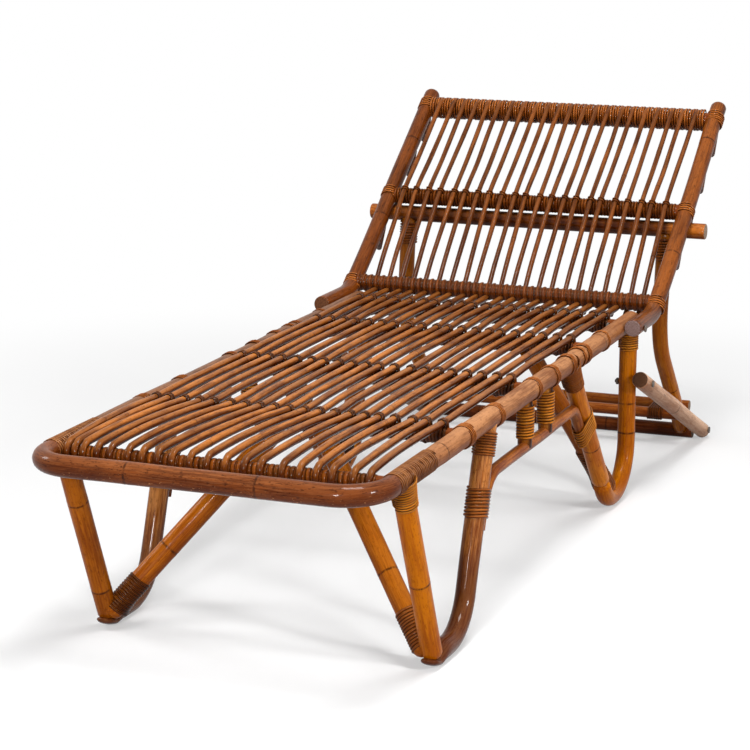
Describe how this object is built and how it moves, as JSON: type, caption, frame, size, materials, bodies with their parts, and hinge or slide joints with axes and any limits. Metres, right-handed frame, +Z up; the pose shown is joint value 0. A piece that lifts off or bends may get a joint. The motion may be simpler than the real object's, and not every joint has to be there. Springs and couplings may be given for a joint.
{
  "type": "chaise longue",
  "caption": "Rattan chaise longue: slatted seat of thin rods, hinged back held by a notched prop frame, bent braced legs and tie arms to a floor bar.",
  "frame": {"origin": "on the floor, below the middle of the whole piece", "axes": "+Z up, +Y from the foot end to the head end, X across the width; left and right as seen from the foot end"},
  "size_m": [0.7, 1.8898, 0.6896],
  "materials": {
    "loop_pole": "dark red-brown rattan with a glossy skin",
    "rail_pole": "worn pinkish-tan rattan, satin",
    "bar_pole": "tawny rattan with a glossy skin",
    "bent_pole": "dark red-brown rattan with a glossy skin",
    "post_pole": "honey rattan, semi-gloss",
    "brace_pole": "amber rattan, semi-gloss",
    "rods": "mixed amber and brown thin rattan, glossy",
    "peel": "golden rattan peel, semi-gloss",
    "pegs": "tawny rattan wedges, semi-gloss",
    "bolt_steel": "dark aged steel"
  },
  "bodies": {
    "seat_frame": {"front_loop": "loop_pole", "side_rail_left": "rail_pole", "side_rail_right": "rail_pole", "seat_bar_front": "bar_pole", "seat_bar_calf": "bar_pole", "seat_bar_knee": "bar_pole", "seat_bar_hip": "bar_pole", "seat_bar_rear": "bar_pole", "leg_bend_front_left": "bent_pole", "leg_post_front_left": "post_pole", "leg_brace_front_left": "brace_pole", "leg_bend_front_right": "bent_pole", "leg_post_front_right": "post_pole", "leg_brace_front_right": "brace_pole", "leg_bend_rear_left": "bent_pole", "leg_post_rear_left": "post_pole", "leg_brace_rear_left": "brace_pole", "leg_bend_rear_right": "bent_pole", "leg_post_rear_right": "post_pole", "leg_brace_rear_right": "brace_pole", "side_stretcher_left": "rail_pole", "spindle_1_left": "bar_pole", "spindle_peel_1_left": "peel", "spindle_2_left": "bar_pole", "spindle_peel_2_left": "peel", "side_stretcher_right": "rail_pole", "spindle_1_right": "bar_pole", "spindle_peel_1_right": "peel", "spindle_2_right": "bar_pole", "spindle_peel_2_right": "peel", "seat_rods": "rods", "hinge_bolt_left": "bolt_steel", "arm_bolt_left": "bolt_steel", "hinge_bolt_right": "bolt_steel", "arm_bolt_right": "bolt_steel"},
    "backrest": {"back_stile_left": "brace_pole", "back_stile_right": "brace_pole", "back_bar_bottom": "bar_pole", "back_bar_middle": "bar_pole", "back_bar_top": "bar_pole", "back_rods": "rods", "peg_1_left": "pegs", "peg_2_left": "pegs", "peg_3_left": "pegs", "peg_4_left": "pegs", "peg_1_right": "pegs", "peg_2_right": "pegs", "peg_3_right": "pegs", "peg_4_right": "pegs"},
    "tie_arms": {"tie_arm_left": "rail_pole", "floor_bolt_left": "bolt_steel", "tie_arm_right": "rail_pole", "floor_bolt_right": "bolt_steel"},
    "prop_frame": {"prop_rod": "bar_pole", "floor_bar": "bent_pole", "prop_leg_left": "brace_pole", "prop_leg_right": "brace_pole", "prop_bar_front": "bent_pole", "prop_bar_back": "bent_pole"}
  },
  "joints": [
    {"name": "backrest_raise", "type": "hinge", "parent": "seat_frame", "child": "backrest", "pos_m": [0, 0.3375, 0.336], "axis": [1, 0, 0], "range_deg": [0, 140]},
    {"name": "arm_drop", "type": "hinge", "parent": "seat_frame", "child": "tie_arms", "pos_m": [0, 0.4085, 0.216], "axis": [1, 0, 0], "range_deg": [-67, 0]},
    {"name": "prop_swing", "type": "hinge", "parent": "tie_arms", "child": "prop_frame", "pos_m": [0, 0.8695, 0.02], "axis": [1, 0, 0], "range_deg": [-35, 0]}
  ],
  "couplings": [
    {"joint": "prop_swing", "follows": "backrest_raise", "ratio": -0.25}
  ]
}
